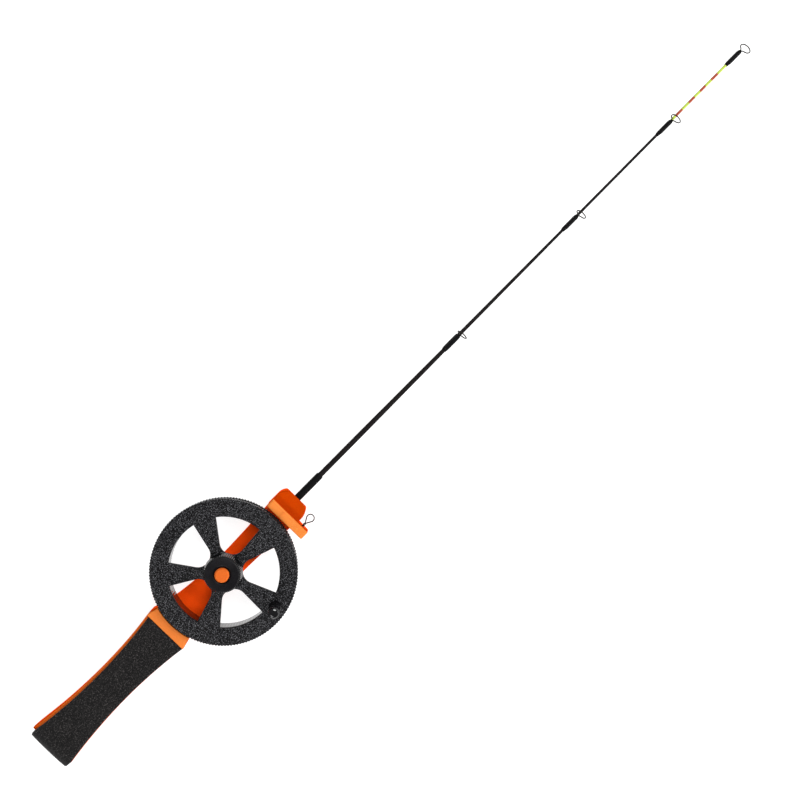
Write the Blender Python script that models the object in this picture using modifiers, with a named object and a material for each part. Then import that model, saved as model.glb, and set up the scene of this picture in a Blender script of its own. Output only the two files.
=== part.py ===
"""Ice fishing rod with an open wheel reel, as an assembly of separate pieces.

The rod lies on its back. +X runs along the whip to its tip, +Z is the reel's axle, and +Y is the rod's
upper side. The origin is where the reel's axis meets the flat back of the handle frame.
All sizes below are in millimetres; MM turns them into metres.
"""

import math

import bmesh
import bpy
from mathutils import Matrix, Vector

MM = 0.001

# Driving dimensions
CENTRE_Y = -0.64            # the handle, head and whip share a centre line just below the reel's axis
GRIP_THICK = 20.0           # whole grip, foam to foam
FOAM_THICK = 3.15
GLUE_GAP = 0.15             # gap kept between pieces that touch
FINE_GAP = 0.08             # the same between very small pieces
LEDGE = 0.65                # how far the core stands out past the foam on the lower side
UPPER_LEDGE = 0.8           # and on the upper side
GRIP_Y = CENTRE_Y + 0.27    # the grip's own centre line

BUTT_X = -123.2             # centre of the round fold at the butt
SHOULDER_BACK_X = -44.1
SHOULDER_FRONT_X = -36.0
SHOULDER_TOP = 19.4
SHOULDER_FOOT = 2.8         # rise from the arm to the foot of the shoulder's front
REEL_CLEARANCE = 1.0        # radial gap between the reel and the hollowed shoulder
WAIST_X = -83.0
WAIST_HALF = 9.3
FLARE_BACK = 3.07           # growth of the half width over FLARE_BACK_RUN towards the butt
FLARE_BACK_RUN = 43.0
FLARE_FRONT = 2.8
FLARE_FRONT_RUN = 38.6
FOAM_WIDEST = 12.5          # half width that the foam never passes
FOAM_SHIFT = -0.42           # the strip is glued on slightly off the core's centre line

ARM_THICK = 6.0
ARM_HALF = 7.1              # half width of the arm at the reel's axle
HEAD_BACK_X = 44.2
HEAD_FRONT_X = 53.1
HEAD_DRAFT = 1.6            # how far the front of the head leans back towards its foot
NOSE_X = HEAD_FRONT_X - 0.6  # where the whip enters the leaning front
HEAD_HALF = 8.9
HEAD_THICK = 14.0
HEAD_CORNER = 6.3
PLATE_BACK_X = 39.5
PLATE_TOP = 18.5
LUG_REACH = 16.1            # from the centre line to the end of the line lug
LUG_BOTTOM = 6.5
RIB_HALF = 0.35             # small moulded rib across the top of the plate

REEL_RADIUS = 38.3
BACK_RADIUS = 37.8
REEL_BACK = 9.7
BACK_FLANGE_FRONT = 11.9
FRONT_FLANGE_BACK = 20.0
REEL_FACE = 22.5
DRUM_OUTER = 30.4
DRUM_INNER = 28.9
FLANGE_SIDES = 80
DRUM_SIDES = 60
SPOKES = 5
FIRST_SPOKE = -7.4          # degrees about the axle, from +X
WINDOW_INNER = 10.7
WINDOW_OUTER = 28.8
SPOKE_HALF_ANGLE = 12.0
WINDOW_CORNER = 6.0
HUB_OUTER = 6.6
HUB_FLARE_LOW = 16.5        # the hub's tube widens to the spokes between these two heights
HUB_FLARE_HIGH = 19.0
SCREW_CIRCLE = 25.4
SCREW_RADIUS = 0.95
SCREW_HEAD = 1.8
SCREW_BOSS = 2.4
SCREW_HOLE = 1.1
SCREW_SEAT = REEL_BACK + 2.4

AXLE_RADIUS = 3.0
AXLE_BORE = 2.1
AXLE_FLOOR = 1.5
AXLE_TOP = 26.6
BOSS_RADIUS = 6.4
BOSS_TOP = 8.4
RUNNING = 0.06              # radial clearance of a running fit
BUSH_OUTER = 4.2
PAD_RADIUS = 6.1

NUT_RADIUS = 10.2
NUT_FACE_RADIUS = 9.4
NUT_BOTTOM = 23.1
NUT_TOP = 29.7
NUT_CAVITY = 7.2
NUT_CAVITY_TOP = 24.6
BUTTON_RADIUS = 3.7
BUTTON_HOLE = 4.3
BUTTON_TOP = 31.5
BUTTON_TRAVEL = 2.0
STEM_BOTTOM = 14.3
SPRING_TURNS = 5.0
SPRING_RADIUS = 1.45
SPRING_WIRE = 0.25

KNOB_ANGLE = FIRST_SPOKE - 360.0 / SPOKES
KNOB_CIRCLE = 32.2
KNOB_TOP = 37.8
KNOB_BOTTOM = 22.9
KNOB_BORE = 1.06
PIN_RADIUS = 1.0
PIN_HEAD = 1.5
PIN_NECK = KNOB_TOP - 5.0   # underside of the pin's head

WHIP_Z = 9.0
WHIP_BUTT_X = 42.4
TIP_START_X = 331.0
WHIP_END_X = 383.4
BASE_SLEEVE_END_X = 69.6
SOCKET_RADIUS = 2.5
SLEEVE_RADIUS = 2.0
# Whip radius at distances along the rod
WHIP_TAPER = [(42.4, 1.45), (70.0, 1.45), (95.0, 1.44), (107.0, 1.39), (128.0, 1.28), (148.0, 1.22),
              (160.0, 1.13), (180.0, 1.0), (195.0, 0.96), (212.0, 0.91), (240.0, 0.8), (262.0, 0.76),
              (296.0, 0.73), (331.0, 0.72), (383.4, 0.7)]

RING_ROLL = 10.5            # the guides are rolled this far from the reel's side towards -Y
RING_LEAN = 10.0            # and lean this far forward
WIRE_RADIUS = 0.32
LEG_SPACING = 0.33          # half the distance between a guide's two wires at its foot
SLEEVE_WALL = 0.34
RING_STEPS = 20
RING_OPEN = 24.0            # degrees left open on each side where the ring meets its foot
# Name, sleeve, end of the foot, back of the sleeve and outside width of each guide's ring
GUIDES = [("guide_1", "guide_sleeve_1", 172.8, 161.7, 6.3),
          ("guide_2", "guide_sleeve_2", 261.2, 250.4, 6.3),
          ("guide_3", "guide_sleeve_3", 331.4, 320.9, 6.3),
          ("tip_guide", "tip_guide_sleeve", 382.8, 372.4, 6.5)]

EYE_Y = CENTRE_Y - 12.1
EYE_Z = 12.5
EYE_HOLE = 0.82
EYE_WIRE = 0.31
EYE_TWIST = 0.42            # radius of the twisted shank
EYE_PITCH = 2.6
EYE_LOOP = 2.0
EYE_SHANK_END = HEAD_BACK_X + 2.7

ROUND = 36                  # sides of a large round piece
SMALL_ROUND = 20


# Building blocks

def clear_scene():
    for old in list(bpy.data.objects):
        bpy.data.objects.remove(old, do_unlink=True)


def collection(name):
    group = bpy.data.collections.new(name)
    bpy.context.scene.collection.children.link(group)
    return group


def material(name, colour, roughness, metallic=0.0):
    made = bpy.data.materials.new(name)
    made.use_nodes = True
    shader = made.node_tree.nodes["Principled BSDF"]
    shader.inputs["Base Color"].default_value = (*colour, 1.0)
    shader.inputs["Roughness"].default_value = roughness
    shader.inputs["Metallic"].default_value = metallic
    made.diffuse_color = (*colour, 1.0)
    return made


def add_object(name, mesh, group=None):
    made = bpy.data.objects.new(name, mesh)
    (group or PARTS).objects.link(made)
    return made


def settle(made, finish, sharp=35.0):
    """Apply the modifiers, weld loose caps and shade the round faces smooth."""
    bpy.context.view_layer.update()
    evaluated = made.evaluated_get(bpy.context.evaluated_depsgraph_get())
    mesh = bpy.data.meshes.new_from_object(evaluated)
    name, place, parent = made.name, made.matrix_world.copy(), made.parent
    bpy.data.objects.remove(made, do_unlink=True)
    shape = bmesh.new()
    shape.from_mesh(mesh)
    bmesh.ops.remove_doubles(shape, verts=shape.verts, dist=0.000001)
    bmesh.ops.recalc_face_normals(shape, faces=shape.faces)
    shape.to_mesh(mesh)
    shape.free()
    mesh.materials.clear()
    mesh.materials.append(finish)
    mesh.shade_smooth()
    mesh.set_sharp_from_angle(angle=math.radians(sharp))
    mesh.name = name
    solid = add_object(name, mesh)
    solid.matrix_world = place
    if parent:
        solid.parent = parent
        solid.matrix_parent_inverse = parent.matrix_world.inverted()
    return solid


def turned(name, profile, place=(0, 0, 0), along="Z", steps=ROUND, ring=True, group=None):
    """Turn a profile of (radius, height) points, listed down its outer side, about an axis."""
    points = [(radius * MM, 0.0, height * MM) for radius, height in profile]
    edges = [(i, i + 1) for i in range(len(points) - 1)]
    if ring:
        edges.append((len(points) - 1, 0))
    mesh = bpy.data.meshes.new(name)
    mesh.from_pydata(points, edges, [])
    made = add_object(name, mesh, group)
    made.location = Vector(place) * MM
    if along == "X":
        made.rotation_euler = (0.0, math.pi / 2, 0.0)
    screw = made.modifiers.new("Turn", "SCREW")
    screw.axis = "Z"
    screw.steps = screw.render_steps = steps
    screw.use_merge_vertices = True
    screw.merge_threshold = 0.000002
    return made


def tube_profile(inner, outer, bottom, top, bevel=0.0):
    if not bevel:
        return [(inner, top), (outer, top), (outer, bottom), (inner, bottom)]
    return [(inner, top), (outer - bevel, top), (outer, top - bevel),
            (outer, bottom + bevel), (outer - bevel, bottom), (inner, bottom)]


def outline(name, loops, low, high, plane="XY", group=None):
    """Extrude closed 2D loops (the first is the outside, the others are holes) from low to high."""
    curve = bpy.data.curves.new(name, "CURVE")
    curve.dimensions = "2D"
    curve.fill_mode = "BOTH"
    curve.extrude = (high - low) / 2 * MM
    for loop in loops:
        spline = curve.splines.new("POLY")
        spline.points.add(len(loop) - 1)
        spline.use_cyclic_u = True
        for point, (x, y) in zip(spline.points, loop):
            point.co = (x * MM, y * MM, 0.0, 1.0)
    flat = add_object(name, curve, group)
    middle = (low + high) / 2 * MM
    if plane == "XZ":
        flat.matrix_world = Matrix.Translation((0, middle, 0)) @ Matrix.Rotation(math.pi / 2, 4, "X")
    elif plane == "YZ":
        turn = Matrix.Rotation(math.pi / 2, 4, "Z") @ Matrix.Rotation(math.pi / 2, 4, "X")
        flat.matrix_world = Matrix.Translation((middle, 0, 0)) @ turn
    else:
        flat.matrix_world = Matrix.Translation((0, 0, middle))
    return mesh_from_curve(flat, group)


def mesh_from_curve(flat, group=None):
    bpy.context.view_layer.update()
    evaluated = flat.evaluated_get(bpy.context.evaluated_depsgraph_get())
    mesh = bpy.data.meshes.new_from_object(evaluated)
    shape = bmesh.new()
    shape.from_mesh(mesh)
    bmesh.ops.remove_doubles(shape, verts=shape.verts, dist=0.000001)
    bmesh.ops.recalc_face_normals(shape, faces=shape.faces)
    shape.to_mesh(mesh)
    shape.free()
    name, place = flat.name, flat.matrix_world.copy()
    bpy.data.objects.remove(flat, do_unlink=True)
    solid = add_object(name, mesh, group)
    solid.matrix_world = place
    return solid


def wire(name, route, radius, sides=6):
    """A round wire along a list of points, in millimetres."""
    curve = bpy.data.curves.new(name, "CURVE")
    curve.dimensions = "3D"
    curve.bevel_depth = radius * MM
    curve.bevel_resolution = max(0, (sides - 4) // 2)
    curve.use_fill_caps = True
    spline = curve.splines.new("POLY")
    spline.points.add(len(route) - 1)
    for point, place in zip(spline.points, route):
        point.co = (*(Vector(place) * MM), 1.0)
    return mesh_from_curve(add_object(name, curve))


def combine(body, tool, operation):
    """Boolean body with tool, which stays in the file as a hidden cutter."""
    modifier = body.modifiers.new(tool.name, "BOOLEAN")
    modifier.operation = operation
    modifier.object = tool
    modifier.solver = "EXACT"
    tool.hide_render = True
    tool.display_type = "WIRE"
    return body


def soften(body, width, segments=2, angle=40.0):
    bevel = body.modifiers.new("Soft edges", "BEVEL")
    bevel.width = width * MM
    bevel.segments = segments
    bevel.limit_method = "ANGLE"
    bevel.angle_limit = math.radians(angle)
    bevel.use_clamp_overlap = True
    return body


def arc(centre_x, centre_y, radius, start, end, steps):
    """Points of an arc between two angles in degrees, both ends included."""
    angles = [math.radians(start + (end - start) * i / steps) for i in range(steps + 1)]
    return [(centre_x + radius * math.cos(a), centre_y + radius * math.sin(a)) for a in angles]


def circle(centre_x, centre_y, radius, steps=SMALL_ROUND):
    return arc(centre_x, centre_y, radius, 0.0, 360.0, steps)[:-1]


def rounded(corners, radii, steps=5):
    """Round each corner of a polygon by its own radius."""
    points = []
    count = len(corners)
    for i, (corner, radius) in enumerate(zip(corners, radii)):
        here = Vector(corner)
        if not radius:
            points.append(tuple(here))
            continue
        back = (Vector(corners[i - 1]) - here).normalized()
        ahead = (Vector(corners[(i + 1) % count]) - here).normalized()
        half = back.angle(ahead) / 2
        reach = radius / math.tan(half)
        centre = here + (back + ahead).normalized() * (radius / math.sin(half))
        first = here + back * reach - centre
        last = here + ahead * reach - centre
        sweep = first.angle_signed(last)
        for step in range(steps + 1):
            turn = Matrix.Rotation(-sweep * step / steps, 2)
            points.append(tuple(centre + turn @ first))
    return points


def around(radius, degrees):
    angle = math.radians(degrees)
    return radius * math.cos(angle), radius * math.sin(angle)


# Handle

def foam_half(x):
    """Half width of the foam along the waisted grip."""
    if x < WAIST_X:
        return WAIST_HALF + FLARE_BACK * ((WAIST_X - x) / FLARE_BACK_RUN) ** 2
    return WAIST_HALF + FLARE_FRONT * ((x - WAIST_X) / FLARE_FRONT_RUN) ** 2


def arm_half(x):
    if x < 0:
        return ARM_HALF + 3.4 * (x / SHOULDER_FRONT_X) ** 2.2
    return ARM_HALF + (HEAD_HALF - ARM_HALF) * (x / HEAD_BACK_X) ** 1.6


def outlined(side, centre, wider=0.0):
    """The two edges of a piece from (x, half width), with its upper edge set out further."""
    lower = [(x, centre - half) for x, half in side]
    upper = [(x, centre + half + wider) for x, half in reversed(side)]
    return lower, upper


def stations(start, end, count):
    return [start + (end - start) * i / count for i in range(count + 1)]


def frame_plan():
    end_x = BUTT_X - (GRIP_THICK / 2 - FOAM_THICK - GLUE_GAP) - 1.0
    grip = [(x, foam_half(x) + LEDGE) for x in stations(end_x, SHOULDER_BACK_X - 0.5, 14)]
    corner = grip[-1][1]
    shoulder = [(SHOULDER_BACK_X + 0.8, corner), (SHOULDER_BACK_X + 4.6, corner - 1.3),
                (SHOULDER_FRONT_X, corner - 2.0)]
    arm = [(x, arm_half(x)) for x in stations(SHOULDER_FRONT_X + 3.0, PLATE_BACK_X, 14)]
    nose = [(HEAD_BACK_X, HEAD_HALF)]
    corner_arc = arc(HEAD_FRONT_X - HEAD_CORNER + 0.2, HEAD_HALF - HEAD_CORNER, HEAD_CORNER, 90.0, 0.0, 7)
    handle_low, handle_high = outlined(grip + shoulder, GRIP_Y, UPPER_LEDGE - LEDGE)
    front_low, front_high = outlined(arm + nose + corner_arc, CENTRE_Y)
    return handle_low + front_low + front_high + handle_high


def frame_side():
    """The frame seen from below: thick at the grip, thin under the reel, and the head block."""
    middle = GRIP_THICK / 2
    inner = middle - FOAM_THICK - GLUE_GAP
    butt = arc(BUTT_X, middle, inner, 90.0, 270.0, 14)
    under = [(SHOULDER_BACK_X, middle - inner), (SHOULDER_BACK_X, 0.0), (HEAD_FRONT_X - HEAD_DRAFT, 0.0)]
    top = [(HEAD_FRONT_X, HEAD_THICK), (PLATE_BACK_X, HEAD_THICK), (PLATE_BACK_X, ARM_THICK),
           (SHOULDER_FRONT_X + 3.0, ARM_THICK), (SHOULDER_FRONT_X, ARM_THICK + SHOULDER_FOOT),
           (SHOULDER_FRONT_X, SHOULDER_TOP), (SHOULDER_BACK_X, SHOULDER_TOP),
           (SHOULDER_BACK_X, middle + inner)]
    return butt + under + top


def plate_outline():
    """The front plate and its line lug, across the rod."""
    upper, lug = CENTRE_Y + HEAD_HALF, CENTRE_Y - LUG_REACH
    neck = CENTRE_Y - HEAD_HALF
    corners = [(upper, 0.0), (upper, PLATE_TOP), (lug, PLATE_TOP), (lug, LUG_BOTTOM),
               (neck, LUG_BOTTOM - 2.5), (neck, 0.0)]
    return rounded(corners, [0.0, 1.2, 1.4, 1.4, 1.0, 0.0], 3)


def make_frame():
    body = outline("frame_body", [frame_plan()], -1.0, GRIP_THICK + 1.0)
    side = outline("frame_side_cutter", [frame_side()], -30.0, 30.0, "XZ", CUTTERS)
    combine(body, side, "INTERSECT")
    soften(body, 0.9, 2)
    hollow_profile = tube_like(REEL_RADIUS + REEL_CLEARANCE, ARM_THICK + SHOULDER_FOOT, SHOULDER_TOP + 2.0)
    hollow = turned("shoulder_cutter", hollow_profile, steps=FLANGE_SIDES, ring=False, group=CUTTERS)
    combine(body, hollow, "DIFFERENCE")
    plate = outline("plate_tool", [plate_outline()], PLATE_BACK_X, HEAD_BACK_X, "YZ", CUTTERS)
    soften(plate, 0.5, 1)
    boss_profile = [(0, BOSS_TOP), (BOSS_RADIUS - 0.6, BOSS_TOP), (BOSS_RADIUS, BOSS_TOP - 0.6),
                    (BOSS_RADIUS, 0.3), (BOSS_RADIUS - 0.3, 0.0), (0, 0.0)]
    boss = turned("boss_tool", boss_profile, ring=False, group=CUTTERS)
    rib_back, rib_front = PLATE_BACK_X + 0.7, HEAD_BACK_X - 0.7
    rib_loop = [(rib_back, CENTRE_Y - RIB_HALF), (rib_front, CENTRE_Y - RIB_HALF),
                (rib_front, CENTRE_Y + RIB_HALF), (rib_back, CENTRE_Y + RIB_HALF)]
    rib = outline("rib_tool", [rib_loop], PLATE_TOP - 1.0, PLATE_TOP + RIB_HALF, "XY", CUTTERS)
    for tool in (plate, boss, rib):
        combine(body, tool, "UNION")
    axle_profile = tube_like(AXLE_RADIUS + FINE_GAP, AXLE_FLOOR - 0.1, BOSS_TOP + 2.0)
    axle_hole = turned("axle_hole_cutter", axle_profile, ring=False, group=CUTTERS)
    bore = SOCKET_RADIUS + FINE_GAP
    whip_hole = turned("whip_hole_cutter", [(0, HEAD_FRONT_X + 2.0), (bore + 0.9, HEAD_FRONT_X + 2.0),
                                            (bore + 0.9, NOSE_X), (bore, NOSE_X - 0.7),
                                            (bore, PLATE_BACK_X + 1.6), (0, PLATE_BACK_X + 1.6)],
                       place=(0, CENTRE_Y, WHIP_Z), along="X", steps=SMALL_ROUND, ring=False, group=CUTTERS)
    eye_hole = turned("eye_hole_cutter", [(0, HEAD_BACK_X + 2.0), (EYE_HOLE, HEAD_BACK_X + 2.0),
                                          (EYE_HOLE, PLATE_BACK_X + 1.4), (0, PLATE_BACK_X + 1.4)],
                      place=(0, EYE_Y, EYE_Z), along="X", steps=SMALL_ROUND, ring=False, group=CUTTERS)
    for tool in (axle_hole, whip_hole, eye_hole):
        combine(body, tool, "DIFFERENCE")
    return settle(body, ORANGE)


def make_foam():
    """One foam strip, folded round the butt and glued to both flat sides of the core."""
    middle = GRIP_THICK / 2
    inner = middle - FOAM_THICK
    front = SHOULDER_BACK_X - 0.3
    fold_out = arc(BUTT_X, middle, middle, 90.0, 270.0, 16)
    fold_in = arc(BUTT_X, middle, inner, 270.0, 90.0, 16)
    profile = fold_out + [(front, 0.0), (front, middle - inner)] + fold_in
    profile += [(front, middle + inner), (front, GRIP_THICK)]
    end_x = BUTT_X - middle - 1.0
    side = [(x, min(foam_half(x), FOAM_WIDEST)) for x in stations(end_x, front, 16)]
    ends = [(front - 1.0, side[-1][1]), (front, side[-1][1] - 1.0)]
    low_edge, high_edge = outlined(side[:-1] + ends, GRIP_Y + FOAM_SHIFT)
    plan = low_edge + high_edge
    foam = outline("grip_foam", [plan], -1.0, GRIP_THICK + 1.0)
    combine(foam, outline("foam_cutter", [profile], -30.0, 30.0, "XZ", CUTTERS), "INTERSECT")
    soften(foam, 0.5, 1, 60.0)
    return settle(foam, FOAM)


# Reel

def window(middle_angle):
    """One of the five windows between the spokes: straight sides, a round outside and a round inside."""
    half = 180.0 / SPOKES - SPOKE_HALF_ANGLE
    outer = arc(0, 0, WINDOW_OUTER, middle_angle - half, middle_angle + half, 10)
    corners = [around(WINDOW_INNER, middle_angle + half), around(WINDOW_INNER, middle_angle - half)]
    inner = rounded([outer[-1], corners[0], corners[1], outer[0]], [0, WINDOW_CORNER, WINDOW_CORNER, 0], 5)
    return outer + inner[1:-1]


def make_spool_front():
    """Front flange, spokes and hub tube in one moulding."""
    wheel = outline("spool_front", [circle(0, 0, REEL_RADIUS, FLANGE_SIDES)], FRONT_FLANGE_BACK, REEL_FACE)
    pitch = 360.0 / SPOKES
    for i in range(SPOKES):
        hole = outline(f"window_cutter_{i + 1}", [window(FIRST_SPOKE + pitch * (i + 0.5))],
                       FRONT_FLANGE_BACK - 2.0, REEL_FACE + 2.0, "XY", CUTTERS)
        combine(wheel, hole, "DIFFERENCE")
        x, y = around(SCREW_CIRCLE, FIRST_SPOKE + pitch * i)
        pilot_profile = tube_like(SCREW_HOLE, FRONT_FLANGE_BACK - 2.0, REEL_FACE - 0.8)
        pilot = turned(f"pilot_cutter_{i + 1}", pilot_profile, place=(x, y, 0), steps=12, ring=False,
                       group=CUTTERS)
        combine(wheel, pilot, "DIFFERENCE")
    hub_top = WINDOW_INNER - 1.0
    hub = turned("hub_tool", [(0, REEL_FACE), (hub_top, REEL_FACE), (hub_top, HUB_FLARE_HIGH),
                              (HUB_OUTER, HUB_FLARE_LOW), (HUB_OUTER, REEL_BACK), (0, REEL_BACK)],
                 ring=False, group=CUTTERS)
    combine(wheel, hub, "UNION")
    bore = turned("hub_bore_cutter", tube_like(BUSH_OUTER + FINE_GAP, REEL_BACK - 2.0, REEL_FACE + 2.0),
                  ring=False, group=CUTTERS)
    combine(wheel, bore, "DIFFERENCE")
    x, y = around(KNOB_CIRCLE, KNOB_ANGLE)
    pin_profile = tube_like(PIN_RADIUS + FINE_GAP, FRONT_FLANGE_BACK - 2.0, REEL_FACE + 2.0)
    pin_hole = turned("pin_hole_cutter", pin_profile, place=(x, y, 0), steps=SMALL_ROUND, ring=False,
                      group=CUTTERS)
    combine(wheel, pin_hole, "DIFFERENCE")
    return settle(wheel, BLACK)


def tube_like(radius, bottom, top):
    """Profile of a plain solid cylinder."""
    return [(0, top), (radius, top), (radius, bottom), (0, bottom)]


def make_spool_drum():
    """The drum and back flange, with a screw boss behind each spoke."""
    wall = tube_profile(DRUM_INNER, DRUM_OUTER, REEL_BACK + 0.4, FRONT_FLANGE_BACK - 0.1)
    drum = turned("spool_drum", wall, steps=DRUM_SIDES)
    rims = [circle(0, 0, BACK_RADIUS, FLANGE_SIDES), circle(0, 0, DRUM_INNER + 0.8, DRUM_SIDES)]
    flange = outline("back_flange_tool", rims, REEL_BACK, BACK_FLANGE_FRONT, "XY", CUTTERS)
    combine(drum, flange, "UNION")
    pitch = 360.0 / SPOKES
    for i in range(SPOKES):
        x, y = around(SCREW_CIRCLE, FIRST_SPOKE + pitch * i)
        reach = around(DRUM_INNER + 0.6, FIRST_SPOKE + pitch * i)
        sideways = around(SCREW_BOSS, FIRST_SPOKE + pitch * i + 90.0)
        lug = [(reach[0] - sideways[0], reach[1] - sideways[1]),
               (reach[0] + sideways[0], reach[1] + sideways[1])]
        start = FIRST_SPOKE + pitch * i + 90.0
        lug += arc(x, y, SCREW_BOSS, start, start + 180.0, 8)
        boss = outline(f"screw_boss_tool_{i + 1}", [lug], REEL_BACK + 0.7, FRONT_FLANGE_BACK - 0.3,
                       "XY", CUTTERS)
        combine(drum, boss, "UNION")
        wide = SCREW_HEAD + 0.2
        hole_profile = [(0, REEL_FACE), (SCREW_HOLE, REEL_FACE), (SCREW_HOLE, SCREW_SEAT),
                        (wide, SCREW_SEAT), (wide, REEL_BACK - 1.0), (0, REEL_BACK - 1.0)]
        hole = turned(f"screw_hole_cutter_{i + 1}", hole_profile, place=(x, y, 0), steps=16, ring=False,
                      group=CUTTERS)
        combine(drum, hole, "DIFFERENCE")
    return settle(drum, BLACK)


def make_spool_screws():
    """Five pan-head screws, driven from behind into the spokes."""
    for i in range(SPOKES):
        x, y = around(SCREW_CIRCLE, FIRST_SPOKE + 360.0 / SPOKES * i)
        profile = [(0, REEL_FACE - 1.2), (SCREW_RADIUS, REEL_FACE - 1.5), (SCREW_RADIUS, SCREW_SEAT - 0.2),
                   (SCREW_HEAD, SCREW_SEAT - 0.2), (SCREW_HEAD, SCREW_SEAT - 1.3),
                   (SCREW_HEAD - 0.5, SCREW_SEAT - 1.7), (0, SCREW_SEAT - 1.7)]
        settle(turned(f"spool_screw_{i + 1}", profile, place=(x, y, 0), steps=16, ring=False), STEEL)


def make_axle():
    profile = tube_profile(AXLE_BORE, AXLE_RADIUS, AXLE_FLOOR, AXLE_TOP, 0.3)
    settle(turned("axle_sleeve", profile), STEEL)
    pad = tube_profile(AXLE_RADIUS + 0.3, PAD_RADIUS, BOSS_TOP + 0.1, REEL_BACK - 0.1)
    settle(turned("brake_pad", pad), FELT)
    bush = tube_profile(AXLE_RADIUS + RUNNING, BUSH_OUTER, REEL_BACK + 0.1, REEL_FACE - 0.1)
    settle(turned("spool_bush", bush), BRASS)


def make_drag():
    washer = tube_profile(AXLE_RADIUS + 0.2, 6.6, REEL_FACE + 0.15, REEL_FACE + 0.75)
    settle(turned("thrust_washer", washer), STEEL)
    low, outer, thick, rise = REEL_FACE + 0.85, 6.4, 0.3, 0.6
    cone = [(AXLE_RADIUS + 0.2, low + rise + thick), (outer, low + thick), (outer, low),
            (AXLE_RADIUS + 0.2, low + rise)]
    settle(turned("drag_spring", cone), STEEL)
    outside = [(NUT_FACE_RADIUS - 0.6, NUT_TOP), (NUT_FACE_RADIUS + 0.1, NUT_TOP - 1.0),
               (NUT_RADIUS, NUT_BOTTOM + 0.4), (NUT_RADIUS - 0.4, NUT_BOTTOM)]
    thread = AXLE_RADIUS + RUNNING
    inside = [(NUT_CAVITY, NUT_BOTTOM), (NUT_CAVITY, NUT_CAVITY_TOP), (thread, NUT_CAVITY_TOP),
              (thread, AXLE_TOP + 0.1), (BUTTON_HOLE, AXLE_TOP + 0.1), (BUTTON_HOLE, NUT_TOP - 0.4),
              (BUTTON_HOLE + 0.4, NUT_TOP)]
    settle(turned("drag_nut", outside + inside), BLACK)


def make_button():
    """The brake button: a chamfered cap on a stem that runs inside the axle."""
    under = AXLE_TOP + BUTTON_TRAVEL + 0.2
    profile = [(0, BUTTON_TOP), (BUTTON_RADIUS - 0.7, BUTTON_TOP), (BUTTON_RADIUS, BUTTON_TOP - 0.6),
               (BUTTON_RADIUS, under), (AXLE_BORE - RUNNING, under), (AXLE_BORE - RUNNING, STEM_BOTTOM),
               (0, STEM_BOTTOM)]
    settle(turned("brake_button", profile, ring=False), ORANGE)
    low, high = AXLE_FLOOR + 0.6, STEM_BOTTOM - 0.4
    count = int(SPRING_TURNS * 9)
    route = []
    for i in range(count + 1):
        x, y = around(SPRING_RADIUS, 360.0 * SPRING_TURNS * i / count)
        route.append((x, y, low + (high - low) * i / count))
    settle(wire("button_spring", route, SPRING_WIRE), STEEL)


def make_knob():
    """The crank knob turns freely on a pin whose head is snapped into it."""
    x, y = around(KNOB_CIRCLE, KNOB_ANGLE)
    side = [(0, KNOB_TOP), (2.1, KNOB_TOP), (2.7, KNOB_TOP - 0.4), (2.9, KNOB_TOP - 1.2),
            (2.8, KNOB_TOP - 3.4),
            (2.4, KNOB_TOP - 7.5), (2.7, KNOB_BOTTOM + 2.0), (3.5, KNOB_BOTTOM + 0.6), (3.3, KNOB_BOTTOM)]
    bore = [(KNOB_BORE, KNOB_BOTTOM), (KNOB_BORE, PIN_NECK), (PIN_HEAD + 0.15, PIN_NECK),
            (PIN_HEAD + 0.15, PIN_NECK + 1.5), (0, PIN_NECK + 2.0)]
    settle(turned("crank_knob", side + bore, place=(x, y, 0), steps=SMALL_ROUND, ring=False), GLOSS)
    low = FRONT_FLANGE_BACK + 0.2
    pin = [(0, PIN_NECK + 1.4), (PIN_RADIUS - 0.2, PIN_NECK + 1.3), (PIN_HEAD, PIN_NECK + 0.3),
           (PIN_HEAD, PIN_NECK + 0.1), (PIN_RADIUS, PIN_NECK + 0.1), (PIN_RADIUS, low), (0, low)]
    settle(turned("knob_pin", pin, place=(x, y, 0), steps=SMALL_ROUND, ring=False), STEEL)


# Whip

def whip_radius(x):
    for (x0, r0), (x1, r1) in zip(WHIP_TAPER, WHIP_TAPER[1:]):
        if x <= x1:
            return r0 + (r1 - r0) * (x - x0) / (x1 - x0)
    return WHIP_TAPER[-1][1]


def whip_piece(name, start, end, finish, steps):
    stops = [start] + [x for x, _ in WHIP_TAPER if start < x < end] + [end]
    profile = [(0, end)] + [(whip_radius(x), x) for x in reversed(stops)] + [(0, start)]
    place = (0, CENTRE_Y, WHIP_Z)
    return settle(turned(name, profile, place=place, along="X", steps=steps, ring=False), finish)


def make_whip():
    whip_piece("whip_blank", WHIP_BUTT_X, TIP_START_X, CARBON, SMALL_ROUND)
    whip_piece("whip_tip", TIP_START_X + 0.1, WHIP_END_X, YELLOW, 16)
    inner = whip_radius(WHIP_BUTT_X) + FINE_GAP
    sleeve = [(inner, BASE_SLEEVE_END_X - 0.6), (SLEEVE_RADIUS - 0.23, BASE_SLEEVE_END_X),
              (SLEEVE_RADIUS, BASE_SLEEVE_END_X - 0.5), (SLEEVE_RADIUS, WHIP_BUTT_X), (inner, WHIP_BUTT_X)]
    place = (0, CENTRE_Y, WHIP_Z)
    settle(turned("base_sleeve", sleeve, place=place, along="X", steps=SMALL_ROUND), SHRINK)
    socket = tube_profile(SLEEVE_RADIUS + RUNNING, SOCKET_RADIUS, PLATE_BACK_X + 1.8, NOSE_X - 0.9)
    settle(turned("whip_socket", socket, place=place, along="X", steps=SMALL_ROUND), BRASS)


# Line guides

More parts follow.
